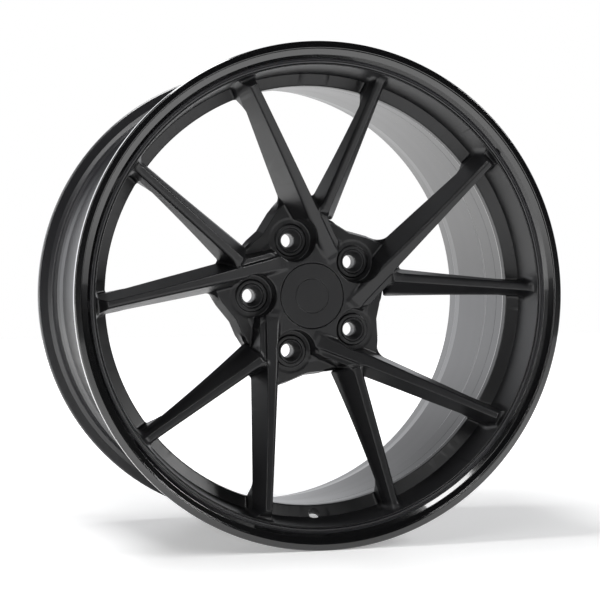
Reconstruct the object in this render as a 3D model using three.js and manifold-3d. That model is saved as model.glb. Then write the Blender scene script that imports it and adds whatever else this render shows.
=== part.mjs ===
// A forged racing wheel, 20 x 10.5 J, taken apart into its real pieces.
//
// Frame: millimetres, +Z up. The wheel turns about Y, its front faces -Y, and the origin is the wheel's
// centre: on the axle line, half way between the two flange faces. "Depth" is measured back from the front
// flange face. "Radius" is measured from the axle line.
import * as THREE from 'three';
import { mergeVertices } from 'three/addons/utils/BufferGeometryUtils.js';
import Module from 'manifold-3d';

const wasm = await Module();
wasm.setup();

// ---------------------------------------------------------------- driving dimensions

const fitGap = 0.3;                         // running gap kept between two pieces that touch
const ringSides = 48;                       // facets round the large rings
const hubSides = 32;                        // facets round the bore and the cap
const lugSides = 16;                        // facets round each lug hole
const wireSides = 6;                        // facets round a wire

// rim, to the 20 x 10.5 J outline
const beadSeatRadius = 256.4;               // where the tyre bead sits, at the flange
const flangeHeight = 17.5;                  // flange above the bead seat
const flangeThickness = 10;
const rimWidth = 266.7;                     // between the two flange faces that hold the tyre
const beadSeatLength = 20;
const wellRadius = beadSeatRadius - 17.3;   // outside of the drop centre
const shellWall = 4.5;
const skirtBore = beadSeatRadius - 4.5;     // inside of the lip, where the disc's skirt seats
const seamDepth = 11;                       // front edge of the skirt
const slopeDepth = 46.7;                    // inside of the lip: here it turns in, towards the drop centre
const slopeEndDepth = 66.5;
const jointDepth = 92;                      // weld between lip and barrel

// disc
const ridgeRadius = beadSeatRadius - 11.8;  // corner between the skirt and the window ring
const ridgeDepth = 52;
const windowRadius = beadSeatRadius - 24.2;  // outer end of the windows
const windowDepth = 58.5;
const ringBackDepth = 68;
const hubFaceDepth = 60;
const padDepth = hubFaceDepth + 19;         // floor of the lug pockets
const mountDepth = 108;                     // face that bolts to the car's hub
const padBackDepth = 101;

// valve hole, at six o'clock
const valveHoleRadius = 5.65;
const valveRadius = beadSeatRadius - 14.9;  // where its axis crosses the ring's face
const valveDepth = 54;
const valveLean = 49;                       // degrees between its axis and the axle

// spokes
const mainTipRadius = beadSeatRadius - 17.9;
const mainTipDepth = 2;                     // a main spoke's tip stands almost level with the flange
const mainRootWidth = 14;                   // flat top of a main spoke, at the hub
const mainTipWidth = 5.4;
const wallRootBack = 119;                   // back edge of a main spoke's wall, if it ran on to the root
const wallTipBack = 38;
const flankRootBack = 98;                   // back edge of its other side
const flankTipBack = 31;
const spokeCrown = 4;                       // how far a main spoke's top bows forward of a straight line
const spokeBevel = 2;
const shelfDepth = 20.5;                    // where the spokes run into the skirt
const sideTipRadius = beadSeatRadius - 7;
const sideRootDepth = 42;
const sideRootWidth = 7;
const sideTipWidth = 5.6;
const sideRootBack = 80;
const sideTipBack = 36;
const sideBackSag = 3.5;
const sideRootFacet = 24;                   // height of the facet down a side spoke, at the fork
const sideTipFacet = 6;
const ledgeWidth = 6;
const ledgeStep = 3.5;                      // the ledge lies this far below the main spoke's top
const sunk = 0.2;                           // the spokes' roots lie this far under the hub's flat face

// hub and lugs
const lugCount = 5;
const lugCircleRadius = 65;                 // 5 on 130 mm
const mountRadius = lugCircleRadius + 14;
const lugHoleRadius = 7.75;
const lugSeatRadius = 13.5;                 // outside of the pressed-in seat
const lugSeatDepth = 14;                    // length of the seat
const pocketRadius = 23.8;
const bossRadius = 18;                      // ring raised round each seat
const bossHeight = 1.6;
const hubBoreRadius = 35.8;
const hubBoreDepth = hubFaceDepth + 20;     // where the hub bore ends, at the cap's shoulder

// cap
const capRadius = hubBoreRadius + 0.3;
const capThickness = 4.2;
const capBoreRadius = hubBoreRadius - 2.8;
const capGrooveRadius = hubBoreRadius - 1.2;
const capGrooveDepth = hubFaceDepth + 11;
const capGrooveWidth = 3.4;
const clipWall = 2.2;
const clipFingers = 6;
const slitWidth = 3;                        // between two fingers of the clip
const springWire = 1.6;
const sealWire = 1.8;

// ---------------------------------------------------------------- derived sizes

const overallWidth = rimWidth + 2 * flangeThickness;
const flangeRadius = beadSeatRadius + flangeHeight;
const sector = (2 * Math.PI) / lugCount;

const wellInside = wellRadius - shellWall;

/** The Y coordinate of a depth behind the front flange face. */
const atDepth = (depth) => depth - overallWidth / 2;

// ---------------------------------------------------------------- finishes

const finish = (color, roughness, metalness) => (
  new THREE.MeshStandardMaterial({ color, roughness, metalness })
);
const satinBlack = finish(0x2b2b2e, 0.55, 0.4);
const glossBlack = finish(0x101012, 0.15, 0.4);
const satinBarrel = finish(0x232325, 0.38, 0.2);
const weldMetal = finish(0x77777a, 0.6, 0.8);
const blackSteel = finish(0x3a3a3d, 0.35, 0.9);
const capBlack = finish(0x303034, 0.5, 0.3);
const nylon = finish(0x18181a, 0.7, 0);
const springSteel = finish(0xa0a0a4, 0.3, 1);
const rubber = finish(0x111111, 0.9, 0);

// ---------------------------------------------------------------- solids

/** A closed geometry as a solid that can be joined and cut. */
function solid(geometry) {
  const bare = geometry.clone();
  bare.deleteAttribute('normal');
  bare.deleteAttribute('uv');
  const merged = mergeVertices(bare, 1e-4);
  return new wasm.Manifold(new wasm.Mesh({
    numProp: 3,
    vertProperties: new Float32Array(merged.attributes.position.array),
    triVerts: new Uint32Array(merged.index.array),
  }));
}

/** A solid as a geometry again. */
function geometryOf(body) {
  const mesh = body.getMesh();
  const geometry = new THREE.BufferGeometry();
  geometry.setAttribute('position', new THREE.BufferAttribute(new Float32Array(mesh.vertProperties), 3));
  geometry.setIndex(new THREE.BufferAttribute(new Uint32Array(mesh.triVerts), 1));
  geometry.computeVertexNormals();
  return geometry;
}

/** Turns a closed [radius, depth] profile, listed anticlockwise, into a ring about the axle. */
function turned(profile, sides = ringSides) {
  const closed = [...profile, profile[0]];
  const points = closed.map(([radius, depth]) => new THREE.Vector2(radius, atDepth(depth)));
  return new THREE.LatheGeometry(points, sides);
}

/** A plain plug about the axle, for cutting or joining. */
function plug(radius, fromDepth, toDepth, sides) {
  return turned([[0, fromDepth], [radius, fromDepth], [radius, toDepth], [0, toDepth]], sides);
}

/** Extrudes a front-view outline of [x, z] points from one depth back to another. */
function plate(outline, fromDepth, toDepth) {
  const shape = new THREE.Shape(outline.map(([x, z]) => new THREE.Vector2(x, z)));
  const geometry = new THREE.ExtrudeGeometry(shape, { depth: toDepth - fromDepth, bevelEnabled: false });
  return geometry.rotateX(Math.PI / 2).translate(0, atDepth(toDepth), 0);
}

/** Skins a row of sections, each a loop of points, into one closed solid with flat ends. */
function loft(sections) {
  const count = sections[0].length;
  const index = [];
  for (let s = 0; s + 1 < sections.length; s += 1) {
    for (let i = 0; i < count; i += 1) {
      const a = s * count + i;
      const b = s * count + ((i + 1) % count);
      index.push(a, b, b + count, a, b + count, a + count);
    }
  }
  const last = (sections.length - 1) * count;
  for (let i = 1; i + 1 < count; i += 1) {
    index.push(0, i + 1, i);
    index.push(last, last + i, last + i + 1);
  }
  const geometry = new THREE.BufferGeometry();
  const positions = sections.flat().flatMap((point) => [point.x, point.y, point.z]);
  geometry.setAttribute('position', new THREE.Float32BufferAttribute(positions, 3));
  geometry.setIndex(index);
  return geometry;
}

/** Turns a solid about the axle, anticlockwise as seen from the front. */
const spun = (body, angle) => body.rotate([0, (-angle * 180) / Math.PI, 0]);

/** Copies of a solid, one for each lug, as one solid. */
function roundTheHub(body) {
  let all = body;
  for (let i = 1; i < lugCount; i += 1) all = all.add(spun(body, i * sector));
  return all;
}

// ---------------------------------------------------------------- spokes

// The lug of the sector drawn here stands at nine o'clock. Each lug has a main spoke that leaves the hub on
// a tangent just above it, and a side spoke that branches off the main one and runs 36 degrees further on.
const polar = (radius, degrees) => new THREE.Vector2(
  radius * Math.cos((degrees * Math.PI) / 180),
  radius * Math.sin((degrees * Math.PI) / 180),
);
const mainRoot = new THREE.Vector2(-36, 36.3);
const mainTip = polar(mainTipRadius, 181.8);
const sideRoot = new THREE.Vector2(-87.3, 39.6);
const sideTip = polar(sideTipRadius, 145.9);
const mainLength = mainRoot.distanceTo(mainTip);
const sideLength = sideRoot.distanceTo(sideTip);
const wallDraft = 0.185;         // sideways lean of a spoke's anticlockwise wall for each mm of depth
const flankSlope = 0.255;        // the same for the clockwise side of a main spoke
const facetSlope = 0.56;         // and for the facet down the clockwise side of a side spoke

/** The depth of a main spoke's top: a slow curve from the hub's face out to the tip. */
function mainTopDepth(along) {
  const part = along / mainLength;
  const chord = hubFaceDepth + (mainTipDepth - hubFaceDepth) * part;
  return chord - spokeCrown * 4 * part * (1 - part);
}

/** Cross-section of a main spoke as [sideways, depth] points. Sideways is positive anticlockwise. */
function mainSection(along, top, flankBack, wallBack) {
  const narrowing = Math.max(0, 1 - along / mainLength) ** 1.6;
  const half = (mainTipWidth + (mainRootWidth - mainTipWidth) * narrowing) / 2;
  return [
    [-half, top],
    [-half - (flankBack - top) * flankSlope, flankBack],
    [half + spokeBevel + (wallBack - top) * wallDraft, wallBack],
    [half + spokeBevel, top + spokeBevel],
    [half, top],
  ];
}

/** Cross-section of a side spoke, whose clockwise side is a facet and then a drafted wall. */
function sideSection(along, top, back) {
  const part = Math.min(1, along / sideLength);
  const half = (sideRootWidth + (sideTipWidth - sideRootWidth) * part) / 2;
  const facet = sideRootFacet + (sideTipFacet - sideRootFacet) * part;
  const facetEdge = -half - facet * facetSlope;
  return [
    [-half, top],
    [facetEdge, top + facet],
    [facetEdge - (back - top - facet) * flankSlope, back],
    [half + spokeBevel + (back - top) * wallDraft, back],
    [half + spokeBevel, top + spokeBevel],
    [half, top],
  ];
}

/** Places sections along a straight line from root towards tip, and skins them. */
function spoke(root, tip, sections) {
  const along = tip.clone().sub(root).normalize();
  const across = new THREE.Vector2(-along.y, along.x);
  return loft(sections.map(([distance, outline]) => outline.map(([sideways, depth]) => new THREE.Vector3(
    root.x + along.x * distance + across.x * sideways,
    atDepth(depth),
    root.y + along.y * distance + across.y * sideways,
  ))));
}

/** A main spoke. Past its tip it steps down to a shelf, and its heel reaches back to the ring. */
function mainSpoke() {
  const sections = [0, 0.2, 0.45, 0.7, 0.94].map((part) => {
    const along = part * mainLength;
    const flankBack = flankRootBack + (flankTipBack - flankRootBack) * part;
    const wallBack = Math.min(padBackDepth, wallRootBack + (wallTipBack - wallRootBack) * part);
    return [along, mainSection(along, mainTopDepth(along) + sunk * (1 - part), flankBack, wallBack)];
  });
  const heel = (top, back) => mainSection(mainLength, top, back - 12, back);
  return spoke(mainRoot, mainTip, [
    ...sections,
    [mainLength - 4, heel(mainTipDepth + 0.6, windowDepth)],
    [mainLength, heel(mainTipDepth, windowDepth)],
    [mainLength + 7.5, heel(shelfDepth - 1.5, ridgeDepth - 1)],
    [mainLength + skirtBore - 2.6 - mainTipRadius, heel(shelfDepth, ridgeDepth - 8)],
  ]);
}

/** A side spoke, from the fork to the skirt. */
function sideSpoke() {
  const sections = [0, 0.3, 0.65, 0.88].map((part) => {
    const top = sideRootDepth + (shelfDepth - sideRootDepth) * part;
    const back = sideRootBack + (sideTipBack - sideRootBack) * part - sideBackSag * 4 * part * (1 - part);
    return [part * sideLength, sideSection(part * sideLength, top, back)];
  });
  return spoke(sideRoot, sideTip, [
    ...sections,
    [0.93 * sideLength, sideSection(sideLength, shelfDepth + 1.5, windowDepth)],
    [sideLength, sideSection(sideLength, shelfDepth, ridgeDepth - 8)],
  ]);
}

/** The low ledge that carries on from the side spoke, along the main spoke and into the hub. */
function ledge() {
  const reach = mainRoot.distanceTo(sideRoot);
  const middle = -mainRootWidth / 2 - 3.6;
  const outline = (along) => {
    const top = mainTopDepth(along) + ledgeStep;
    return [
      [middle - ledgeWidth / 2, top],
      [middle - ledgeWidth / 2 - 22 * flankSlope, top + 26],
      [middle + ledgeWidth / 2, top + 26],
      [middle + ledgeWidth / 2, top],
    ];
  };
  return spoke(mainRoot, mainTip, [-8, reach / 2, reach].map((along) => [along, outline(along)]));
}

// ---------------------------------------------------------------- valve hole

/** The tyre valve's hole, square to the slope inside the lip. */
function valveHole() {
  const hole = new THREE.CylinderGeometry(valveHoleRadius, valveHoleRadius, 44, lugSides);
  hole.rotateX(THREE.MathUtils.degToRad(-valveLean));
  hole.translate(0, atDepth(valveDepth), -valveRadius);
  return solid(hole);
}

// ---------------------------------------------------------------- centre disc

/** The skirt that seats inside the lip, and the ring that closes the windows. */
function discRing() {
  const skirtRadius = skirtBore - fitGap - 0.1;
  const slope = (slopeEndDepth - slopeDepth) / (skirtBore - wellInside);
  const onSlope = (radius) => slopeDepth + (skirtBore - radius) * slope - fitGap * 1.6;
  return turned([
    [windowRadius, windowDepth + 1.5],
    [windowRadius + 1, windowDepth],
    [ridgeRadius, ridgeDepth],
    [ridgeRadius + 0.4, ridgeDepth - 2],
    [skirtRadius - 1.6, seamDepth + 1.2],
    [skirtRadius - 0.7, seamDepth],
    [skirtRadius, seamDepth + 0.7],
    [skirtRadius, onSlope(skirtRadius)],
    [windowRadius + 2.2, onSlope(windowRadius + 2.2)],
    [windowRadius + 2, ringBackDepth],
    [windowRadius, ringBackDepth],
  ]);
}

/** Front-view outline of the lug pads, one sector at a time. */
function padOutline() {
  const corners = [[-40, 6], [-33, -6], [-17, -26], [-10, -42]].map(([x, z]) => [x - lugCircleRadius, z]);
  const outline = [];
  for (let i = 0; i < lugCount; i += 1) {
    for (const [x, z] of corners) {
      const turn = i * sector;
      outline.push([
        x * Math.cos(turn) - z * Math.sin(turn),
        x * Math.sin(turn) + z * Math.cos(turn),
      ]);
    }
  }
  return outline;
}

/** A round cutter or plug standing on the lug circle. */
function atLug(radius, fromDepth, toDepth, sides = lugSides) {
  return solid(plug(radius, fromDepth, toDepth, sides)).translate([-lugCircleRadius, 0, 0]);
}

function centreDisc() {
  const hubTop = solid(plug(mountRadius - 7, hubFaceDepth, padDepth + 1, hubSides));
  const pocketMouth = solid(plate(
    [[4, 23.5], [-58, 12], [-58, -68], [-6, -46], [11, -21]].map(([x, z]) => [x - lugCircleRadius, z]),
    hubFaceDepth - 5,
    padDepth,
  ));
  const pads = solid(plate(padOutline(), padDepth, padBackDepth));
  const mountPad = solid(plug(mountRadius, padBackDepth - 1, mountDepth, hubSides));

  const spokes = roundTheHub(solid(mainSpoke()).add(solid(sideSpoke())).add(solid(ledge())));

  const bore = solid(turned([
    [0, hubFaceDepth - 5],
    [capRadius + 0.4, hubFaceDepth - 5],
    [capRadius + 0.4, hubFaceDepth + capThickness + fitGap],
    [capBoreRadius, hubFaceDepth + capThickness + fitGap],
    [capBoreRadius, capGrooveDepth],
    [capGrooveRadius, capGrooveDepth + 0.8],
    [capGrooveRadius, capGrooveDepth + capGrooveWidth],
    [capBoreRadius, capGrooveDepth + capGrooveWidth + 0.8],
    [capBoreRadius, hubBoreDepth],
    [hubBoreRadius, hubBoreDepth],
    [hubBoreRadius, mountDepth - 1.5],
    [hubBoreRadius + 3, mountDepth + 1.5],
    [0, mountDepth + 1.5],
  ], hubSides));

  const boss = atLug(bossRadius, padDepth - bossHeight, padDepth + 1);
  const pocket = atLug(pocketRadius, hubFaceDepth - 30, padDepth);
  const seatBore = atLug(lugSeatRadius + fitGap, hubFaceDepth - 30, padDepth + lugSeatDepth);
  const lugHole = atLug(lugHoleRadius, padDepth, mountDepth + 5);

  return solid(discRing())
    .add(hubTop.subtract(roundTheHub(pocketMouth)))
    .add(pads)
    .add(mountPad)
    .add(spokes)
    .subtract(roundTheHub(pocket))
    .add(roundTheHub(boss))
    .subtract(roundTheHub(seatBore.add(lugHole)))
    .subtract(bore)
    .subtract(valveHole());
}

// ---------------------------------------------------------------- rim shell

/** Half of the rim from its flange inwards, as [radius, distance from the flange's outer face] points. */
const flangeOutline = [
  [flangeRadius, 2.5],
  [flangeRadius, flangeThickness - 2.5],
  [flangeRadius - 1.5, flangeThickness],
  [beadSeatRadius + 6.5, flangeThickness],
  [beadSeatRadius + 2, flangeThickness + 2],
  [beadSeatRadius, flangeThickness + 6.5],
  [beadSeatRadius - 1.6, flangeThickness + beadSeatLength],
  [beadSeatRadius - 0.5, flangeThickness + beadSeatLength + 5],
  [beadSeatRadius - 0.5, flangeThickness + beadSeatLength + 8],
  [beadSeatRadius - 2.6, flangeThickness + beadSeatLength + 13],
];

function outerLip() {
  return solid(turned([
    [skirtBore, seamDepth - 0.2],
    [skirtBore + 1.6, seamDepth - 0.4],
    [skirtBore + 3, seamDepth + 0.6],
    [skirtBore + 4.6, seamDepth - 3],
    [skirtBore + 8, seamDepth - 7],
    [flangeRadius - 8.2, 2],
    [flangeRadius - 7.4, 0],
    [flangeRadius - 1.2, 0],
    ...flangeOutline,
    [wellRadius + 1.5, 65.5],
    [wellRadius, 68],
    [wellRadius, jointDepth - 3],
    [wellInside + 1, jointDepth],
    [wellInside, jointDepth],
    [wellInside, slopeEndDepth],
    [skirtBore, slopeDepth],
  ])).subtract(valveHole());
}

function innerBarrel() {
  const rear = flangeOutline.map(([radius, inset]) => [radius, overallWidth - inset]).reverse();
  return turned([
    [wellInside, jointDepth + fitGap],
    [wellInside + 1, jointDepth + fitGap],
    [wellRadius, jointDepth + fitGap + 3],
    [wellRadius, 120],
    [beadSeatRadius - 6, 152],
    [beadSeatRadius - 5, overallWidth - 52],
    ...rear,
    [flangeRadius - 1.2, overallWidth],
    [beadSeatRadius - 1, overallWidth],
    [beadSeatRadius - 3, overallWidth - 2],
    [beadSeatRadius - 4.4, overallWidth - 24],
    [beadSeatRadius - 8, overallWidth - 34],
    [beadSeatRadius - 10, overallWidth - 52],
    [beadSeatRadius - 10.5, 153],
    [wellInside, 121.5],
  ]);
}

/** The weld round the outside of the well, in the groove between lip and barrel. */
function barrelWeld() {
  const middle = jointDepth + fitGap / 2;
  return turned([
    [wellInside + 1.8, middle - 0.1],
    [wellRadius + 0.4, middle - 2.7],
    [wellRadius + 1.4, middle - 1.2],
    [wellRadius + 1.4, middle + 1.2],
    [wellRadius + 0.4, middle + 2.7],
    [wellInside + 1.8, middle + 0.1],
  ]);
}

/** The fillet weld behind the window ring, between disc and lip. */
function discWeld() {
  const outside = wellInside - fitGap;
  return turned([
    [windowRadius + 0.2, ringBackDepth + fitGap],
    [outside, ringBackDepth + fitGap],
    [outside, ringBackDepth + 6],
    [outside - 1, ringBackDepth + 3.4],
  ]);
}

// ---------------------------------------------------------------- lug seats

/** A steel seat pressed into the disc: a cone for the wheel bolt, over a clearance hole. */
function lugSeat() {
  const front = padDepth - bossHeight - 0.4;
  const back = padDepth + lugSeatDepth - fitGap;
  return turned([
    [lugHoleRadius, back - 3],
    [lugSeatRadius - 2, front + 0.6],
    [lugSeatRadius - 1, front],
    [lugSeatRadius, front + 0.8],
    [lugSeatRadius, back],
    [lugHoleRadius, back],
  ], lugSides);
}

// ---------------------------------------------------------------- centre cap

const capBack = hubFaceDepth + capThickness;
const clipRadius = capBoreRadius - 0.4;

/** The cap's face: a flat disc with one fine circle cut in it and a groove for the seal behind. */
function capPlate() {
  const circle = capRadius * 0.526;
  return turned([
    [0, hubFaceDepth + 0.2],
    [circle - 0.4, hubFaceDepth + 0.2],
    [circle, hubFaceDepth + 0.7],
    [circle + 0.4, hubFaceDepth + 0.2],
    [capRadius - 0.6, hubFaceDepth],
    [capRadius, hubFaceDepth + 0.6],
    [capRadius, capBack],
    [capRadius - 0.6, capBack],
    [capRadius - 0.6, capBack - 1.4],
    [capRadius - 2.8, capBack - 1.4],
    [capRadius - 2.8, capBack],
    [0, capBack],
  ], hubSides);
}

/** The nylon basket behind the cap's face, slit into fingers that snap behind the bore's edge. */
function capClip() {
  const inner = clipRadius - clipWall;
  const hook = capGrooveDepth + 0.9;
  const back = capGrooveDepth + 6;
  const basket = solid(turned([
    [0, capBack + fitGap],
    [clipRadius, capBack + fitGap],
    [clipRadius, hook],
    [clipRadius + 1.2, hook + 0.8],
    [clipRadius, hook + 2.2],
    [clipRadius, back],
    [inner, back],
    [inner, back - 1.4],
    [inner - 0.8, back - 1.4],
    [inner - 0.8, back - 2.2],
    [inner, back - 2.2],
    [inner, capBack + 2.4],
    [0, capBack + 2.4],
  ], hubSides));
  const slitLength = 12;
  const slitReach = clipRadius + 6;
  const slit = new THREE.BoxGeometry(slitReach, slitLength, slitWidth);
  slit.translate(slitReach / 2 + inner - 4, atDepth(capBack + 3.4) + slitLength / 2, 0);
  let cut = solid(slit);
  for (let i = 1; i < clipFingers; i += 1) {
    cut = cut.add(spun(solid(slit), (i * 2 * Math.PI) / clipFingers));
  }
  return basket.subtract(cut);
}

/** A round wire or cord bent into a ring about the axle. */
function wireRing(radius, wire, depth) {
  const points = [];
  for (let i = 0; i < wireSides; i += 1) {
    const turn = (i * 2 * Math.PI) / wireSides;
    points.push([radius + (wire / 2) * Math.cos(turn), depth + (wire / 2) * Math.sin(turn)]);
  }
  return turned(points, hubSides);
}

// ---------------------------------------------------------------- assembly

const wheel = new THREE.Group();

function addPiece(name, geometry, material) {
  const mesh = new THREE.Mesh(geometry, material);
  mesh.name = name;
  wheel.add(mesh);
  return mesh;
}

addPiece('centre_disc', geometryOf(centreDisc()), satinBlack);
addPiece('outer_lip', geometryOf(outerLip()), glossBlack);
addPiece('inner_barrel', innerBarrel(), satinBarrel);
addPiece('barrel_weld', barrelWeld(), weldMetal);
addPiece('disc_weld', discWeld(), weldMetal);

for (let i = 0; i < lugCount; i += 1) {
  const angle = Math.PI + i * sector;
  const seat = addPiece(`lug_seat_${i + 1}`, lugSeat(), blackSteel);
  seat.position.set(lugCircleRadius * Math.cos(angle), 0, lugCircleRadius * Math.sin(angle));
}

addPiece('cap_plate', capPlate(), capBlack);
addPiece('cap_clip', geometryOf(capClip()), nylon);
const springRadius = clipRadius - clipWall - springWire / 2 - fitGap;
addPiece('cap_spring_ring', wireRing(springRadius, springWire, capGrooveDepth + 2.6), springSteel);
addPiece('cap_seal', wireRing(capRadius - 1.7, sealWire * 0.8, capBack - 0.5), rubber);

export default wheel;
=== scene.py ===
import bmesh
import bpy
import numpy as np
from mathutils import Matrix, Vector


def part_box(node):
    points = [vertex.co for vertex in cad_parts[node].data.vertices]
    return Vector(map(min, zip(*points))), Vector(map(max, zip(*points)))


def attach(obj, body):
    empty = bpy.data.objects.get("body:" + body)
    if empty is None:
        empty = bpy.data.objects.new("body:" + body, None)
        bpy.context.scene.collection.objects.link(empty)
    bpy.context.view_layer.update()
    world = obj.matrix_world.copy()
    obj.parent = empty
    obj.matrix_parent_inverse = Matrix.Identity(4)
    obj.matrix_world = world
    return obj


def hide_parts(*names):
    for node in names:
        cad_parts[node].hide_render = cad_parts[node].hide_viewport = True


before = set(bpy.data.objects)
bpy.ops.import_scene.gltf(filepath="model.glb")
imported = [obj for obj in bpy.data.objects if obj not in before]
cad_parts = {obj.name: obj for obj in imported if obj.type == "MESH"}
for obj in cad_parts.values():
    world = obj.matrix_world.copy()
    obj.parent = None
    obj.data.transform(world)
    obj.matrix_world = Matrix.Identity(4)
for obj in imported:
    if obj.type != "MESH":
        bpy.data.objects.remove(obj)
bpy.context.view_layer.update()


# ---------------------------------------------------------------- camera, light and floor
# The wheel stands upright on a pale floor in a white room, seen a little from its left at hub height.
# A large soft light hangs above it, a tall one stands at the left, and two smaller ones stand in front.

MM = 0.001
lip_low, lip_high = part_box("outer_lip")
flange_radius = lip_high[2] / MM
flange_front = lip_low[1] / MM

camera = bpy.data.objects.new("camera", bpy.data.cameras.new("camera"))
bpy.context.scene.collection.objects.link(camera)
camera.data.lens = 98.47
camera.data.sensor_width = 36
camera.location = (-0.5327, -1.8239, 0.0197)
camera.rotation_mode = "QUATERNION"
camera.rotation_quaternion = Vector((0.2854, 0.9583, -0.0134)).to_track_quat("-Z", "Y")
bpy.context.scene.camera = camera
bpy.context.scene.view_settings.view_transform = "Standard"


def linear(hex_colour):
    """An sRGB hex colour as linear RGBA."""
    srgb = np.array([int(hex_colour[i:i + 2], 16) for i in (1, 3, 5)]) / 255
    low = srgb / 12.92
    high = ((srgb + 0.055) / 1.055) ** 2.4
    return (*np.where(srgb <= 0.04045, low, high), 1.0)


def add(tree, kind, links=None, **settings):
    """Adds a node, sets its properties and sockets, and links sockets of other nodes into it."""
    node = tree.nodes.new("ShaderNode" + kind)
    for name, value in settings.items():
        if hasattr(node, name):
            setattr(node, name, value)
        else:
            node.inputs[name.replace("_", " ")].default_value = value
    for name, socket in (links or {}).items():
        tree.links.new(socket, node.inputs[name])
    return node


ROOM_GLOW = 0.035


def white_room():
    """White to the eye. To the wheel it is a dim studio with a bright backdrop low down behind it."""
    world = bpy.data.worlds.new("white_room")
    world.use_nodes = True
    tree = world.node_tree
    tree.nodes.clear()
    place = add(tree, "TexCoord")
    split = add(tree, "SeparateXYZ", {"Vector": place.outputs["Generated"]})
    backdrop = add(tree, "MapRange", {"Value": split.outputs["Y"]}, From_Min=0.1, From_Max=0.75,
                   To_Min=0.0, To_Max=1.5, interpolation_type="SMOOTHSTEP")
    top_edge = add(tree, "MapRange", {"Value": split.outputs["Z"]}, From_Min=0.2, From_Max=0.5,
                   To_Min=1.0, To_Max=0.0, interpolation_type="SMOOTHSTEP")
    low_part = add(tree, "Math", {0: backdrop.outputs["Result"], 1: top_edge.outputs["Result"]},
                   operation="MULTIPLY")
    total = add(tree, "Math", {0: low_part.outputs["Value"]}, operation="ADD")
    total.inputs[1].default_value = ROOM_GLOW
    soft = add(tree, "Background", {"Strength": total.outputs["Value"]}, Color=linear("#f4f5f8"))
    seen = add(tree, "Background", Color=(1, 1, 1, 1), Strength=1.0)
    path = add(tree, "LightPath")
    mix = add(tree, "MixShader", {0: path.outputs["Is Camera Ray"], 1: soft.outputs[0], 2: seen.outputs[0]})
    add(tree, "OutputWorld", {"Surface": mix.outputs[0]})
    bpy.context.scene.world = world


def soft_light(name, place, size, power):
    """A rectangular soft light at a place, turned to face the wheel's hub."""
    light = bpy.data.lights.new(name, "AREA")
    light.shape = "RECTANGLE"
    light.size, light.size_y = size
    light.energy = power
    lamp = bpy.data.objects.new(name, light)
    lamp.location = place
    lamp.rotation_mode = "QUATERNION"
    lamp.rotation_quaternion = (-Vector(place)).to_track_quat("-Z", "Y")
    bpy.context.scene.collection.objects.link(lamp)


def pale_floor():
    """A wide flat floor that the wheel stands on: almost white, with a painted glow that grows away from
    the wheel, so it is painted darker (painted shade) near the wheel.
    """
    floor_z = lip_low[2]
    mesh = bpy.data.meshes.new("floor")
    half = 6.0
    corners = [(x * half, y * half, floor_z) for x, y in ((-1, -1), (1, -1), (1, 1), (-1, 1))]
    mesh.from_pydata(corners, [], [(0, 1, 2, 3)])
    floor = bpy.data.objects.new("floor", mesh)
    bpy.context.scene.collection.objects.link(floor)
    paint = bpy.data.materials.new("pale_floor_painted_glow")
    paint.use_nodes = True
    tree = paint.node_tree
    shader = tree.nodes["Principled BSDF"]
    shader.inputs["Base Color"].default_value = linear("#f2f2f2")
    shader.inputs["Roughness"].default_value = 0.5
    shader.inputs["Emission Color"].default_value = (1, 1, 1, 1)
    place = add(tree, "TexCoord")
    # Painted light: the floor glows although it is no lamp. Its emission is 0.3 near the wheel, which is
    # painted shade there, and 1.0 far out, which is a painted glow that makes the floor read white.
    away = add(tree, "VectorMath", {0: place.outputs["Object"]}, operation="LENGTH")
    glow = add(tree, "MapRange", {"Value": away.outputs["Value"]}, From_Min=0.35, From_Max=1.3,
               To_Min=0.3, To_Max=1.0, interpolation_type="SMOOTHSTEP")
    tree.links.new(glow.outputs["Result"], shader.inputs["Emission Strength"])
    mesh.materials.append(paint)


white_room()
soft_light("ceiling_light", (-0.7, 0.0, 2.1), (1.2, 0.7), 34)
soft_light("left_light", (-2.5, -0.5, 0.8), (0.4, 2.3), 24)
soft_light("front_light", (-0.9, -1.7, 1.7), (1.4, 0.9), 12)
soft_light("right_light", (1.9, -1.5, 1.3), (0.6, 0.6), 26)
pale_floor()


# ---------------------------------------------------------------- centre disc
# One forged alloy blank, milled from the front and the back: a hub with five lug pads, five straight main
# spokes that leave it on a tangent, five side spokes that fork off them, and the ring that closes the
# windows. Its skirt seats in the lip. It is coated in satin black powder.

LUGS = 5
SECTOR = 2 * np.pi / LUGS

main_root = np.array([-36.0, 36.3])
main_tip_radius = 238.5
main_tip_angle = np.radians(181.8)
side_root = np.array([-87.3, 39.6])
side_tip_radius = 249.4
side_tip_angle = np.radians(145.9)

hub_face = 60.0
tip_depth = 2.0
main_crown = 4.0
main_root_width, main_tip_width = 14.0, 5.4
bevel = 2.0
wall_draft, flank_slope, facet_slope = 0.185, 0.255, 0.56
shelf_depth = 20.5
side_root_depth = 42.0
side_root_width, side_tip_width = 7.0, 5.6
ledge_step, ledge_width = 3.5, 6.0
pad_depth, pad_back, mount_depth = 79.0, 101.0, 108.0
core_radius, mount_radius = 72.0, 79.0
pad_limit = 108.0               # nothing of the pads lies further out than this
pad_round = 4.0                 # radius of the pads' corners in front view
lug_circle, lug_hole = 65.0, 7.75
pocket_radius, pocket_round = 23.8, 7.0
boss_radius, boss_height = 18.0, 1.6
seat_bore_radius, seat_bore_depth = 13.7, 93.0
cap_recess_radius, cap_recess_depth = 36.5, 64.5
clip_bore, groove_radius, groove_depth, groove_half = 33.0, 34.6, 72.7, 1.7
hub_bore, hub_bore_depth, hub_chamfer = 35.8, 80.0, 3.0
skirt_bore, skirt_gap = 251.9, 0.4
ring_back = 68.0
window_radius, window_depth, ridge_radius, ridge_depth = 232.2, 59.2, 244.6, 52.0
well_inside = 234.6
slope_front, slope_back = 46.7, 66.5
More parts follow.
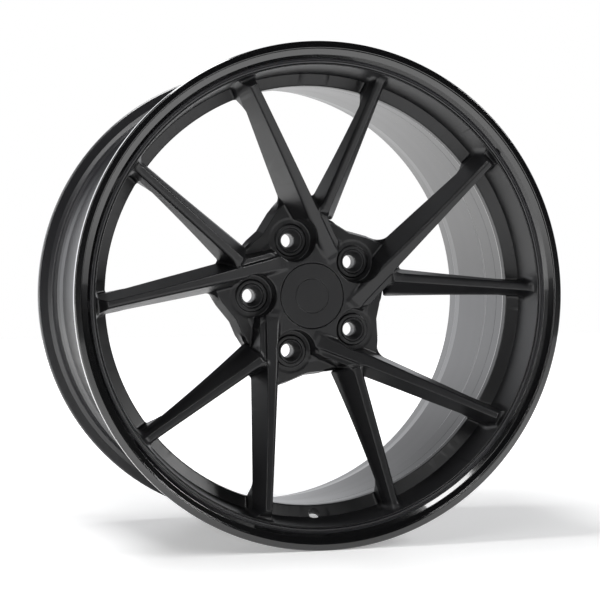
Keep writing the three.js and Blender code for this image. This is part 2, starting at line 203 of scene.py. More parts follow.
valve_radius, valve_depth, valve_lean, valve_bore = 241.5, 54.0, np.radians(49), 5.65
ARRIS = 0.8             # radius of a milled edge
ROUNDING = 1.2          # makes a smooth blend as wide as a fillet of the stated radius


def both(a, b, radius):
    """Where two shapes overlap: the larger distance, with the arris rounded to a radius."""
    width = radius * ROUNDING
    near = np.maximum(width - np.abs(a - b), 0) / width
    return np.maximum(a, b) + near * near * width / 4


def joined(a, b, radius):
    """Two shapes as one: the smaller distance, with a fillet of a radius in the corner."""
    width = radius * ROUNDING
    near = np.maximum(width - np.abs(a - b), 0) / width
    return np.minimum(a, b) - near * near * width / 4


def along_spoke(x, z, root, tip):
    """Distance along and across a spoke's line, for the nearest of its five copies and for the next one.

    A line whose shortest distance to the axle is q stands at the angle heading - asin(q / radius).
    """
    run = (tip - root) / np.linalg.norm(tip - root)
    heading = np.arctan2(run[1], run[0])
    q = root[0] * run[1] - root[1] * run[0]
    radius = np.hypot(x, z)
    angle = np.arctan2(z, x)
    off = angle - heading + np.arcsin(np.clip(q / np.maximum(radius, 1), -1, 1))
    sector = np.round(off / SECTOR)
    spare = np.where(off / SECTOR > sector, sector + 1, sector - 1)
    copies = []
    for turn in (sector, spare):
        c, s = np.cos(-turn * SECTOR), np.sin(-turn * SECTOR)
        px = x * c - z * s - root[0]
        pz = x * s + z * c - root[1]
        copies.append((px * run[0] + pz * run[1], -px * run[1] + pz * run[0]))
    return copies


def polygon_distance(x, z, corners):
    """Signed distance to a polygon: the nearest edge, negative where the winding says inside."""
    nearest = np.full(x.shape, 1e9, np.float32)
    inside = np.zeros(x.shape, bool)
    for (ax, az), (bx, bz) in zip(corners, np.roll(corners, -1, axis=0)):
        ex, ez = bx - ax, bz - az
        wx, wz = x - ax, z - az
        part = np.clip((wx * ex + wz * ez) / (ex * ex + ez * ez), 0, 1)
        gap = (wx - ex * part) ** 2 + (wz - ez * part) ** 2
        nearest = np.minimum(nearest, gap)
        if ez != 0:
            crosses = (az > z) != (bz > z)
            inside ^= crosses & (wx < ex * wz / ez)
    return np.where(inside, -1, 1) * np.sqrt(nearest)


def polar_point(radius, angle):
    """A point in the front view from its radius and its angle."""
    return radius * np.array([np.cos(angle), np.sin(angle)])


main_tip = polar_point(main_tip_radius, main_tip_angle)
side_tip = polar_point(side_tip_radius, side_tip_angle)
main_length = np.linalg.norm(main_tip - main_root)
side_length = np.linalg.norm(side_tip - side_root)


def main_top(t):
    """Depth of a main spoke's top: a straight fall to the tip, bowed forward in the middle."""
    part = np.clip(t / main_length, -0.2, 1.05)
    return hub_face + (tip_depth - hub_face) * part - main_crown * 4 * part * (1 - part)


def heel(radius, back):
    """The back edge of a spoke, carried down to the ring where it nears the rim."""
    part = np.clip((radius - 214) / 20, 0, 1)
    return back + (60 - back) * part * part * (3 - 2 * part)


def main_spoke(t, u, depth, radius):
    """Distance to a main spoke: a flat top, a bevel and steep wall on one side, a long slope opposite."""
    top = np.maximum(main_top(t), tip_depth)
    top = np.where(t < 0, hub_face, top)
    part = np.clip(t / main_length, 0, 1)
    half = (main_tip_width + (main_root_width - main_tip_width) * (1 - part) ** 1.6) / 2
    down = depth - top
    shape = both((top - depth) * 0.96, (u - half - down) * 0.707, ARRIS)
    wall_back = np.minimum(pad_back, 119 - 81 * part)
    flank_back = 98 - 67 * part
    wall_foot = np.minimum(down, wall_back - top) * wall_draft
    flank_foot = np.minimum(down, flank_back - top) * flank_slope
    shape = both(shape, (u - half - bevel - wall_foot) * 0.983, ARRIS)
    shape = both(shape, (-u - half - flank_foot) * 0.969, ARRIS)
    across = np.clip((u + 13) / 27, 0, 1)
    back = heel(radius, flank_back + (wall_back - flank_back) * across)
    shape = both(shape, (depth - back) * 0.92, 2.0)
    tip = (t - main_length - (depth - tip_depth) * 0.45) * 0.912
    shelf = both(t - main_length - 12.5, (shelf_depth - depth) * 0.98, 2.0)
    return both(both(shape, joined(tip, shelf, 4.0), ARRIS), -6 - t, 3.0)


def side_spoke(t, u, depth, radius):
    """Distance to a side spoke: its clockwise side is a facet that narrows outwards, over a wall."""
    part = np.clip(t / side_length, 0, 1)
    top = side_root_depth + (shelf_depth - side_root_depth) * part
    half = (side_root_width + (side_tip_width - side_root_width) * part) / 2
    facet = 24 - 18 * part
    back = 80 - 44 * part - 14 * part * (1 - part)
    down = depth - top
    reach = np.minimum(down, back - top)
    shape = both((top - depth) * 0.99, (u - half - down) * 0.707, ARRIS)
    shape = both(shape, (u - half - bevel - reach * wall_draft) * 0.983, ARRIS)
    shape = both(shape, (-u - half - down * facet_slope) * 0.873, ARRIS)
    foot = half + facet * facet_slope + (reach - facet) * flank_slope
    shape = both(shape, (-u - foot) * 0.969, ARRIS)
    shape = both(shape, (depth - heel(radius, back)) * 0.95, 2.0)
    return both(shape, -4 - t, 3.0)


def ledge(t, u, depth):
    """Distance to the low ledge beside a main spoke, which carries the side spoke into the hub."""
    top = np.where(t < 0, hub_face, main_top(t)) + ledge_step
    middle = -main_root_width / 2 - 3.6 + 0.02 * t
    shape = both((top - depth) * 0.96, np.abs(u - middle) - ledge_width / 2 - (depth - top) * 0.12, 0.6)
    shape = both(shape, np.maximum(t - 54, -10 - t), 2.0)
    return both(shape, depth - top - 36 + 0.2 * t, 2.0)


def ring_corners():
    """Outline of the skirt and the window ring as [radius, depth] corners."""
    skirt = skirt_bore - skirt_gap
    slope = (slope_back - slope_front) / (skirt_bore - well_inside)
    foot = 234.4
    return np.array([
        [window_radius, window_depth], [window_radius + 1.2, window_depth - 1.2],
        [ridge_radius, ridge_depth], [ridge_radius + 0.4, ridge_depth - 2], [249.9, 12.0], [250.7, 11.0],
        [skirt, 11.7], [skirt, slope_front + 0.2], [foot, slope_front + (skirt_bore - foot) * slope - 0.5],
        [foot - 0.2, ring_back], [window_radius, ring_back],
    ])


def pad_corners(spread):
    """Front-view outline of the lug pads, moved outwards by a spread."""
    one = np.array([[-105.0, 6.0], [-98.0, -6.0], [-82.0, -26.0], [-75.0, -42.0]])
    one *= 1 + spread / np.linalg.norm(one, axis=1, keepdims=True)
    turns = [np.array([[np.cos(a), np.sin(a)], [-np.sin(a), np.cos(a)]]) for a in np.arange(LUGS) * SECTOR]
    return np.concatenate([one @ turn for turn in turns])


def inset(corners, amount):
    """A convex outline with every edge moved inwards by an amount."""
    corners = np.asarray(corners, float)
    along = np.roll(corners, -1, axis=0) - corners
    along /= np.linalg.norm(along, axis=1, keepdims=True)
    before = np.roll(along, 1, axis=0)
    turn = before[:, 0] * along[:, 1] - before[:, 1] * along[:, 0]
    return corners + amount * (along - before) / np.abs(turn)[:, None]


pocket_mouth = inset([[-61.0, 23.5], [-123.0, 12.0], [-123.0, -68.0], [-71.0, -46.0], [-54.0, -21.0]],
                     pocket_round)


def hub(x, depth, z, radius, lx, lz):
    """Distance to the hub: a flat core with a hollow round each lug, drafted pads and the mounting pad."""
    mouth = polygon_distance(lx, lz, pocket_mouth) - pocket_round + (depth - pad_depth) * 0.08
    core = both(radius - core_radius, hub_face - depth, ARRIS)
    core = both(core, depth - pad_back, 2.0)
    core = both(core, -np.maximum(mouth, depth - pad_depth), 1.5)
    near = radius < pad_limit + 22
    outline = radius - pad_limit
    outline[near] = polygon_distance(x[near], z[near], pad_corners(-pad_round)) - pad_round
    pads = both(outline - (depth - pad_depth) * 0.22, pad_depth - depth, ARRIS)
    pads = both(pads, depth - pad_back, 2.0)
    mount = both(both(radius - mount_radius, depth - mount_depth, 1.2), pad_back - 3 - depth, 1.0)
    return joined(joined(core, pads, 2.0), mount, 2.0)


def disc_distance(x, depth, z):
    """Signed distance to the whole disc, in millimetres, negative inside the metal."""
    radius = np.hypot(x, z)
    lug_turn = np.round((np.arctan2(z, x) - np.pi) / SECTOR) * SECTOR
    lx = x * np.cos(lug_turn) + z * np.sin(lug_turn)
    lz = z * np.cos(lug_turn) - x * np.sin(lug_turn)
    shape = hub(x, depth, z, radius, lx, lz)
    mains = [main_spoke(t, u, depth, radius) for t, u in along_spoke(x, z, main_root, main_tip)]
    ledges = [ledge(t, u, depth) for t, u in along_spoke(x, z, main_root, main_tip)]
    sides = [side_spoke(t, u, depth, radius) for t, u in along_spoke(x, z, side_root, side_tip)]
    spokes = joined(joined(np.minimum(*mains), np.minimum(*ledges), 1.5), np.minimum(*sides), 5.0)
    corner = 2.5 + 7.5 * np.clip((depth - pad_depth) / 5, 0, 1)
    shape = joined(shape, spokes, corner)
    fillet = 6.5 - 4 * np.clip((depth - 36) / 20, 0, 1)
    shape = joined(shape, polygon_distance(radius, depth, ring_corners()), fillet)
    seat = (radius - skirt_bore) * 0.753 + (depth - slope_front) * 0.658 + 0.35
    shape = np.maximum(shape, np.maximum(radius - skirt_bore + skirt_gap, seat))

    lug = np.hypot(lx + lug_circle, lz)
    shape = both(shape, -both(lug - pocket_radius, depth - pad_depth, 1.5), 1.4)
    boss = both(lug - boss_radius - (depth - pad_depth) * 0.3, pad_depth - boss_height - depth, 0.5)
    shape = joined(shape, both(boss, depth - pad_depth - 3, 1), 0.6)
    shape = both(shape, -both(lug - seat_bore_radius, depth - seat_bore_depth, 0.5), 0.5)
    shape = both(shape, lug_hole - lug, 0.5)

    shape = both(shape, -both(radius - cap_recess_radius, depth - cap_recess_depth, 0.4), 0.6)
    groove = both(radius - groove_radius, np.abs(depth - groove_depth) - groove_half, 0.4)
    shape = both(shape, -np.minimum(radius - clip_bore, groove), 0.5)
    shape = both(shape, -both(radius - hub_bore, hub_bore_depth - depth, 0.4), 0.5)
    shape = both(shape, (hub_bore + hub_chamfer - mount_depth + depth - radius) * 0.707, 0.5)

    out = np.cos(valve_lean) * (-z - valve_radius) - np.sin(valve_lean) * (depth - valve_depth)
    return both(shape, valve_bore - np.hypot(x, out) - 600 * (z > 0), 0.6)


def around_surface(distance, low, high, step):
    """Distances on a fine grid, worked out only in the 4-step blocks that the surface may cross."""
    block = 4
    counts = np.ceil((high - low) / (step * block)).astype(int)
    middles = [low[i] + (np.arange(counts[i]) + 0.5) * step * block for i in range(3)]
    bx, by, bz = (g.ravel().astype(np.float32) for g in np.meshgrid(*middles, indexing="ij"))
    far = distance(bx, by, bz)
    values = np.repeat(np.repeat(np.repeat(far.reshape(counts), block, 0), block, 1), block, 2)
    values = np.pad(values.astype(np.float32), ((0, 1), (0, 1), (0, 1)), mode="edge")
    chosen = np.flatnonzero(np.abs(far) < step * block * 0.87 + 2.5)
    bi, bj, bk = np.unravel_index(chosen, counts)
    for part in np.array_split(np.arange(len(chosen)), max(1, len(chosen) // 8000)):
        i, j, k = np.meshgrid(*[np.arange(block + 1)] * 3, indexing="ij")
        gi = (bi[part, None] * block + i.ravel()).ravel()
        gj = (bj[part, None] * block + j.ravel()).ravel()
        gk = (bk[part, None] * block + k.ravel()).ravel()
        point = [(low[n] + g * step).astype(np.float32) for n, g in enumerate((gi, gj, gk))]
        values[gi, gj, gk] = distance(*point)
    return values


def skin(values, low, step):
    """Surface nets: one vertex in each grid cell that the surface crosses, at the mean of its crossings."""
    solid = values < 0
    shape = np.array(values.shape)
    owners, places, quads = [], [], []
    for axis in range(3):
        first = [slice(None)] * 3
        second = [slice(None)] * 3
        first[axis], second[axis] = slice(None, -1), slice(1, None)
        edge = np.array(np.nonzero(solid[tuple(first)] != solid[tuple(second)]))
        ahead = edge.copy()
        ahead[axis] += 1
        v0, v1 = values[tuple(edge)], values[tuple(ahead)]
        place = edge.astype(float)
        place[axis] += v0 / (v0 - v1)
        b, c = (axis + 1) % 3, (axis + 2) % 3
        corners = []
        for db, dc in ((1, 1), (0, 1), (0, 0), (1, 0)):
            cell = edge.copy()
            cell[b] -= db
            cell[c] -= dc
            corners.append(np.ravel_multi_index(cell, shape))
        ring = np.stack(corners)
        leaving = solid[tuple(edge)]
        quads.append(np.where(leaving, ring, ring[::-1]))
        owners.append(ring.ravel())
        places.append(np.tile(place, 4))
    cells, index = np.unique(np.concatenate(owners), return_inverse=True)
    places = np.concatenate(places, axis=1)
    count = np.bincount(index)
    points = np.stack([np.bincount(index, places[n]) / count for n in range(3)], axis=1)
    faces = np.searchsorted(cells, np.concatenate(quads, axis=1)).T
    return low + points * step, faces


def slopes(distance, points, reach):
    """The gradient of a distance at points, from differences over a small reach."""
    parts = []
    for axis in range(3):
        shift = np.zeros(3)
        shift[axis] = reach
        ahead = distance(*(points + shift).T)
        behind = distance(*(points - shift).T)
        parts.append((ahead - behind) / (2 * reach))
    return np.stack(parts, axis=1)


def from_depth(points):
    """Points as x, depth, z in millimetres to the row frame in metres."""
    return (points + np.array([0, flange_front, 0])) * MM


def piece(name, points, faces, normals, body, slot, paint, *nodes):
    """A finished mesh object that rides on a body, takes the given paint and stands for CAD nodes; its slot
    is not used.
    """
    mesh = bpy.data.meshes.new(name)
    mesh.from_pydata(points, [], faces)
    mesh.polygons.foreach_set("use_smooth", np.ones(len(mesh.polygons), bool))
    mesh.normals_split_custom_set_from_vertices(normals)
    mesh.materials.append(paint)
    made = bpy.data.objects.new(name, mesh)
    bpy.context.scene.collection.objects.link(made)
    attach(made, body)
    if nodes:
        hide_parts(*nodes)
    return made


def thinned(points, faces, keep):
    """The same surface with fewer triangles, dropped first where it is flat."""
    mesh = bpy.data.meshes.new("thinning")
    mesh.from_pydata(points, [], faces)
    made = bpy.data.objects.new("thinning", mesh)
    bpy.context.scene.collection.objects.link(made)
    thin = made.modifiers.new("thin", "DECIMATE")
    thin.ratio = min(1.0, keep / (2 * len(faces)))
    less = made.evaluated_get(bpy.context.evaluated_depsgraph_get()).to_mesh()
    less.calc_loop_triangles()
    places = np.empty(len(less.vertices) * 3)
    less.vertices.foreach_get("co", places)
    corners = np.empty(len(less.loop_triangles) * 3, np.int32)
    less.loop_triangles.foreach_get("vertices", corners)
    bpy.data.objects.remove(made)
    bpy.data.meshes.remove(mesh)
    return places.reshape(-1, 3), corners.reshape(-1, 3)


def satin_powder_coat():
    """Satin black polyester powder: a fine even orange peel, and a soft broad shine on every arris."""
    paint = bpy.data.materials.new("satin_black_powder_coat")
    paint.use_nodes = True
    tree = paint.node_tree
    shader = tree.nodes["Principled BSDF"]
    shader.inputs["IOR"].default_value = 1.5
    place = add(tree, "TexCoord")
    peel = add(tree, "TexNoise", {"Vector": place.outputs["Object"]}, Scale=1 / (1.6 * MM), Detail=2.0)
    patch = add(tree, "TexNoise", {"Vector": place.outputs["Object"]}, Scale=1 / (40 * MM), Detail=3.0)
    tone = add(tree, "Mix", data_type="RGBA")
    tone.inputs[6].default_value = linear("#0e0e10")
    tone.inputs[7].default_value = linear("#131315")
    tree.links.new(patch.outputs["Fac"], tone.inputs[0])
    tree.links.new(tone.outputs[2], shader.inputs["Base Color"])
    rough = add(tree, "MapRange", {"Value": patch.outputs["Fac"]}, To_Min=0.33, To_Max=0.42)
    tree.links.new(rough.outputs["Result"], shader.inputs["Roughness"])
    bump = add(tree, "Bump", {"Height": peel.outputs["Fac"]}, Strength=0.35, Distance=0.03 * MM)
    tree.links.new(bump.outputs["Normal"], shader.inputs["Normal"])
    return paint


def centre_disc():
    """Skins the disc's distance on a grid, thins it, and settles it on the true surface for its normals."""
    step = 1.0
    low = np.array([-256.0, -2.0, -256.0])
    high = np.array([256.0, 112.0, 256.0])
    points, faces = skin(around_surface(disc_distance, low, high, step), low, step)
    points, faces = thinned(points, faces, 190000)
    for _ in range(2):
        slope = slopes(disc_distance, points, 0.1)
        off = disc_distance(*points.T) / np.maximum((slope ** 2).sum(axis=1), 0.25)
        points -= slope * np.clip(off, -0.4, 0.4)[:, None]
    normals = slopes(disc_distance, points, 0.3)
    normals /= np.linalg.norm(normals, axis=1, keepdims=True)
    return piece("forged_disc", from_depth(points), faces, normals, "wheel", "satin_black_disc",
                 satin_powder_coat(), "centre_disc")


centre_disc()


# ---------------------------------------------------------------- outer lip
# The front third of the rim, spun from sheet: the flange, the front bead seat and the front of the well.
# Its bore takes the disc's skirt. The face is gloss black, and the rest is painted like the barrel.

overall_width = 286.7
bead_seat = 256.4
well_radius = 239.1
joint_depth = 92.0
seam_depth = 11.0
seam_gap = 0.3
valve_hole_sides = 48
rim_segments = 384


def flange_outline():
    """From the flange's rim over the bead seat and its hump, as [radius, distance from the outer face]."""
    return [
        [flange_radius, 1.4], [flange_radius, 8.6], [flange_radius - 1.4, 10.0], [bead_seat + 6.5, 10.0],
        [bead_seat + 2, 12.0], [bead_seat, 16.5], [bead_seat - 1.6, 30.0], [bead_seat - 0.5, 35.0],
        [bead_seat - 0.5, 38.0], [bead_seat - 2.6, 43.0],
    ]


def eased(outline, radius):
    """A closed outline with each corner drawn as a five-point curve, and a point held on each side."""
    corners = np.asarray(outline, float)
    out = []
    for before, corner, after in zip(np.roll(corners, 1, axis=0), corners, np.roll(corners, -1, axis=0)):
        back, on = before - corner, after - corner
        back_length, on_length = np.linalg.norm(back), np.linalg.norm(on)
        back, on = back / back_length, on / on_length
        half = np.arccos(np.clip(back @ on, -0.9999, 1)) / 2
        reach = min(radius / np.tan(half), 0.4 * back_length, 0.4 * on_length)
        hold = min(radius * 0.4, 0.08 * back_length, 0.08 * on_length)
        out.append(corner + back * (reach + hold))
        for part in np.linspace(0, 1, 5):
            out.append(corner + back * reach * (1 - part) ** 2 + on * reach * part ** 2)
        out.append(corner + on * (reach + hold))
    return np.array(out)


def lathe(outline, segments, ripple=None):
    """Points and faces of a closed [radius, depth] outline swept round the axle, with a ripple if given."""
    outline = np.asarray(outline, float)
    area = np.sum(outline[:, 0] * np.roll(outline[:, 1], -1) - outline[:, 1] * np.roll(outline[:, 0], -1))
    if area > 0:
        outline = outline[::-1]
    angle = np.arange(segments) * 2 * np.pi / segments
    radius = np.repeat(outline[None, :, 0], segments, axis=0)
    depth = np.repeat(outline[None, :, 1], segments, axis=0)
    if ripple is not None:
        radius, depth = ripple(angle[:, None], radius, depth)
    points = np.stack([radius * np.cos(angle)[:, None], depth, radius * np.sin(angle)[:, None]], axis=-1)
    count = len(outline)
    here = np.arange(segments)[:, None] * count + np.arange(count)
    over = np.roll(here, -1, axis=1)
    faces = np.stack([here, over, np.roll(over, -1, axis=0), np.roll(here, -1, axis=0)], axis=-1)
    return points.reshape(-1, 3), faces.reshape(-1, 4)


def cut_away(made, points, faces):
    """Takes a closed cutter, given by its points and faces, out of an object, which keeps the result."""
    mesh = bpy.data.meshes.new("cutter")
    mesh.from_pydata(points, [], faces)
    cutter = bpy.data.objects.new("cutter", mesh)
    bpy.context.scene.collection.objects.link(cutter)
    cut = made.modifiers.new("cut", "BOOLEAN")
    cut.object = cutter
    cut.solver = "EXACT"
    result = bpy.data.meshes.new_from_object(made.evaluated_get(bpy.context.evaluated_depsgraph_get()))
    made.modifiers.clear()
    made.data = result
    bpy.data.objects.remove(cutter)


def rod(sides, radius, start, end):
    """Points and faces of a closed round rod from start to end."""
    turn = (Vector(end) - Vector(start)).to_track_quat("Z", "Y")
    angles = np.arange(sides) * 2 * np.pi / sides
    ring = [turn @ Vector((radius * np.cos(a), radius * np.sin(a), 0)) for a in angles]
    points = [Vector(place) + off for place in (start, end) for off in ring]
    faces = [(i, (i + 1) % sides, sides + (i + 1) % sides, sides + i) for i in range(sides)]
    faces += [tuple(range(sides))[::-1], tuple(range(sides, 2 * sides))]
    return points, faces


def turned(name, outline, rounding, segments, body, slot, paint, *nodes, ripple=None, centre=(0, 0)):
    """A lathed piece with eased corners, about the axle or about a parallel line through centre."""
    points, faces = lathe(eased(outline, rounding), segments, ripple)
    points += np.array([centre[0], 0, centre[1]])
    mesh = bpy.data.meshes.new(name)
    mesh.from_pydata(from_depth(points), [], faces)
    mesh.polygons.foreach_set("use_smooth", np.ones(len(mesh.polygons), bool))
    weld = bmesh.new()
    weld.from_mesh(mesh)
    bmesh.ops.remove_doubles(weld, verts=weld.verts, dist=1e-7)
    weld.to_mesh(mesh)
    weld.free()
    mesh.set_sharp_from_angle(angle=np.radians(40))
    mesh.materials.append(paint)
    made = bpy.data.objects.new(name, mesh)
    bpy.context.scene.collection.objects.link(made)
    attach(made, body)
    if nodes:
        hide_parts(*nodes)
    return made


def gloss_black():
    """Gloss black lacquer on spun alloy: a dark base under a hard clear coat with a trace of waviness."""
    paint = bpy.data.materials.new("gloss_black_lacquer")
    paint.use_nodes = True
    tree = paint.node_tree
    shader = tree.nodes["Principled BSDF"]
    shader.inputs["Base Color"].default_value = linear("#060607")
    shader.inputs["Roughness"].default_value = 0.16
    shader.inputs["IOR"].default_value = 1.5
    shader.inputs["Coat Weight"].default_value = 1.0
    shader.inputs["Coat Roughness"].default_value = 0.04
    place = add(tree, "TexCoord")
    wave = add(tree, "TexNoise", {"Vector": place.outputs["Object"]}, Scale=1 / (9 * MM), Detail=1.0)
    bump = add(tree, "Bump", {"Height": wave.outputs["Fac"]}, Strength=0.2, Distance=0.02 * MM)
    tree.links.new(bump.outputs["Normal"], shader.inputs["Normal"])
    tree.links.new(bump.outputs["Normal"], shader.inputs["Coat Normal"])
    return paint


def satin_barrel_paint():
    """Satin black over a turned surface: fine lines run round the drum under a smooth coat."""
    paint = bpy.data.materials.new("satin_black_barrel_paint")
    paint.use_nodes = True
    tree = paint.node_tree
    shader = tree.nodes["Principled BSDF"]
    shader.inputs["IOR"].default_value = 1.75
    place = add(tree, "TexCoord")
    split = add(tree, "SeparateXYZ", {"Vector": place.outputs["Object"]})
    across = add(tree, "VectorMath", {0: place.outputs["Object"]}, operation="MULTIPLY")
    across.inputs[1].default_value = (1, 0, 1)
    radius = add(tree, "VectorMath", {0: across.outputs[0]}, operation="LENGTH")
    along = add(tree, "CombineXYZ", {"X": split.outputs["Y"], "Y": radius.outputs["Value"]})
    lines = add(tree, "TexNoise", {"Vector": along.outputs[0]}, Scale=1 / (0.9 * MM), Detail=2.0)
    bands = add(tree, "TexNoise", {"Vector": along.outputs[0]}, Scale=1 / (25 * MM), Detail=2.0)
    tone = add(tree, "Mix", {0: bands.outputs["Fac"]}, data_type="RGBA")
    tone.inputs[6].default_value = linear("#17171a")
    tone.inputs[7].default_value = linear("#1d1d20")
    tree.links.new(tone.outputs[2], shader.inputs["Base Color"])
    rough = add(tree, "MapRange", {"Value": bands.outputs["Fac"]}, To_Min=0.26, To_Max=0.34)
    tree.links.new(rough.outputs["Result"], shader.inputs["Roughness"])
    bump = add(tree, "Bump", {"Height": lines.outputs["Fac"]}, Strength=0.15, Distance=0.02 * MM)
    tree.links.new(bump.outputs["Normal"], shader.inputs["Normal"])
    return paint


def outer_lip():
    """The lip's section from the seam with the disc out over the flange, and back along the bore."""
    outline = [
        [skirt_bore, seam_depth - 0.2], [skirt_bore + 1.6, seam_depth - 0.4],
        [skirt_bore + 3, seam_depth + 0.6], [skirt_bore + 4.6, seam_depth - 3],
        [skirt_bore + 8, seam_depth - 7], [flange_radius - 8.2, 2.0], [flange_radius - 7.4, 0.0],
        [flange_radius - 1.2, 0.0], *flange_outline(), [well_radius + 1.5, 65.5], [well_radius, 68.0],
        [well_radius, joint_depth - 3], [well_inside + 1, joint_depth], [well_inside, joint_depth],
        [well_inside, joint_depth - 0.6], [well_inside, slope_back], [skirt_bore, slope_front],
    ]
    made = turned("outer_lip_visual", outline, 1.0, rim_segments, "wheel", "gloss_black_lip", gloss_black(),
                  "outer_lip")
    middle = np.array([0, valve_depth, -valve_radius])
    lean = np.array([0, np.cos(valve_lean), -np.sin(valve_lean)])
    reach = 25.0
    start, end = from_depth(middle - lean * reach), from_depth(middle + lean * reach)
    cut_away(made, *rod(valve_hole_sides, valve_bore * MM, start, end))
    made.data.materials.append(satin_barrel_paint())
    masked = [int(face.center.y / MM - flange_front > 9.0) for face in made.data.polygons]
    made.data.polygons.foreach_set("material_index", masked)
    return made


outer_lip()


# ---------------------------------------------------------------- inner barrel
# The rear two thirds of the rim, spun and flow-formed: the back of the well, the long tapered drum over the
# brake, the rear bead seat and flange. It is painted satin black over a fine turned finish.


def inner_barrel():
    """The barrel's section: from the joint over the drum to the rear flange, and back along the inside."""
    rear = [[radius, overall_width - inset_] for radius, inset_ in reversed(flange_outline())]
    outline = [
        [well_inside, joint_depth + seam_gap + 0.6], [well_inside, joint_depth + seam_gap],
        [well_inside + 1, joint_depth + seam_gap],
        [well_radius, joint_depth + seam_gap + 3], [well_radius, 120.0], [bead_seat - 6, 152.0],
        [bead_seat - 5, overall_width - 52], *rear, [flange_radius - 1.2, overall_width],
        [bead_seat - 1, overall_width], [bead_seat - 3, overall_width - 2],
        [bead_seat - 4.4, overall_width - 24], [bead_seat - 8, overall_width - 34],
        [bead_seat - 10, overall_width - 52], [bead_seat - 10.5, 153.0], [well_inside, 121.5],
    ]
    return turned("inner_barrel_visual", outline, 1.0, rim_segments, "wheel", "satin_black_barrel",
                  satin_barrel_paint(), "inner_barrel")


inner_barrel()


# ---------------------------------------------------------------- welds
# Two beads laid round the well: one outside, where lip and barrel meet, and a fillet behind the window ring
# that holds the disc. Both are laid as a row of overlapping beads and left bare.

bead_pitch = 3.2
weld_segments = 1440


def weld_metal():
    """Bare weld metal with a fine uneven grain, much paler than the painted rim."""
    paint = bpy.data.materials.new("weld_bead_metal")
    paint.use_nodes = True
    tree = paint.node_tree
    shader = tree.nodes["Principled BSDF"]
    shader.inputs["Metallic"].default_value = 1.0
    shader.inputs["Roughness"].default_value = 0.42
    place = add(tree, "TexCoord")
    grain = add(tree, "TexNoise", {"Vector": place.outputs["Object"]}, Scale=1 / (2.5 * MM), Detail=3.0)
    tone = add(tree, "Mix", {0: grain.outputs["Fac"]}, data_type="RGBA")
    tone.inputs[6].default_value = linear("#8a8b8f")
    tone.inputs[7].default_value = linear("#a9a7a3")
    tree.links.new(tone.outputs[2], shader.inputs["Base Color"])
    bump = add(tree, "Bump", {"Height": grain.outputs["Fac"]}, Strength=0.4, Distance=0.05 * MM)
    tree.links.new(bump.outputs["Normal"], shader.inputs["Normal"])
    return paint


def stacked(radius, is_crown, dip):
    """A ripple for a lathe: crown points sink by up to dip between one bead and the next, round the wheel.

    dip is signed along the radius, and the beads curve a little across the weld.
    """
    beads = round(2 * np.pi * radius / bead_pitch)

    def ripple(angle, radii, depths):
        phase = (angle * beads / (2 * np.pi) - (depths - depths.mean()) ** 2 * 0.03) % 1
        sink = dip * (1 - 4 * phase * (1 - phase))
        return radii + np.where(is_crown(radii, depths), sink, 0), depths

    return ripple


def barrel_weld():
    """The bead in the groove between lip and barrel, crowned outwards."""
    middle = joint_depth + seam_gap / 2
    outline = [
        [well_inside + 1.8, middle - 0.1], [well_radius + 0.4, middle - 2.7],
        [well_radius + 1.1, middle - 1.5], [well_radius + 1.35, middle], [well_radius + 1.1, middle + 1.5],
        [well_radius + 0.4, middle + 2.7], [well_inside + 1.8, middle + 0.1],
    ]
    ripple = stacked(well_radius, lambda radii, depths: radii > well_radius + 0.2, -0.45)
    turned("barrel_weld_visual", outline, 0.3, weld_segments, "wheel", "weld_bead", weld_metal(),
           "barrel_weld", ripple=ripple)


def disc_weld():
    """The fillet behind the window ring, between disc and lip."""
    outside = well_inside - seam_gap
    front = ring_back + seam_gap
    outline = [
        [232.6, front], [outside, front], [outside, front + 5.6], [outside - 0.7, front + 4.4],
        [outside - 1.2, front + 2.6],
    ]
    ripple = stacked(outside, lambda radii, depths: (radii < outside - 0.2) & (depths > front + 0.5), 0.3)
    turned("disc_weld_visual", outline, 0.25, weld_segments, "wheel", "weld_bead", weld_metal(),
           "disc_weld", ripple=ripple)


barrel_weld()
disc_weld()


# ---------------------------------------------------------------- lug seats
# Five steel sleeves pressed into the disc from the front. Each has a cone for the wheel bolt over a
# clearance hole. They are phosphated black.

seat_radius = 13.5


def black_steel():
    """Phosphated steel: nearly black with a dry sheen and a fine grain."""
    paint = bpy.data.materials.new("phosphated_black_steel")
    paint.use_nodes = True
    tree = paint.node_tree
    shader = tree.nodes["Principled BSDF"]
    place = add(tree, "TexCoord")
    grain = add(tree, "TexNoise", {"Vector": place.outputs["Object"]}, Scale=1 / (1.2 * MM), Detail=3.0)
    tone = add(tree, "Mix", {0: grain.outputs["Fac"]}, data_type="RGBA")
    tone.inputs[6].default_value = linear("#1b1b1c")
    tone.inputs[7].default_value = linear("#262628")
    tree.links.new(tone.outputs[2], shader.inputs["Base Color"])
    rough = add(tree, "MapRange", {"Value": grain.outputs["Fac"]}, To_Min=0.5, To_Max=0.6)
    tree.links.new(rough.outputs["Result"], shader.inputs["Roughness"])
    return paint


def lug_seats(paint):
    """One sleeve, set at five places round the lug circle."""
    front = pad_depth - 2.0
    back = pad_depth + 13.7
    outline = [
        [lug_hole, back - 3], [seat_radius - 2, front + 0.6], [seat_radius - 1, front],
        [seat_radius, front + 0.8], [seat_radius, back], [lug_hole, back],
    ]
    for number in range(LUGS):
        angle = np.pi + number * SECTOR
        place = lug_circle * np.cos(angle), lug_circle * np.sin(angle)
        turned(f"lug_seat_{number + 1}_visual", outline, 0.4, 96, "wheel", "black_steel", paint,
               f"lug_seat_{number + 1}", centre=place)


lug_seats(black_steel())


# ---------------------------------------------------------------- centre cap
# A moulded cap that snaps into the hub's bore and pulls out forwards. Its face is a plain black disc with
# one fine circle. Behind it are a nylon clip, the wire ring that spreads the clip, and a rubber seal.

cap_radius, cap_thickness = 36.1, 4.2
cap_back = hub_face + cap_thickness
seal_wire = 1.44


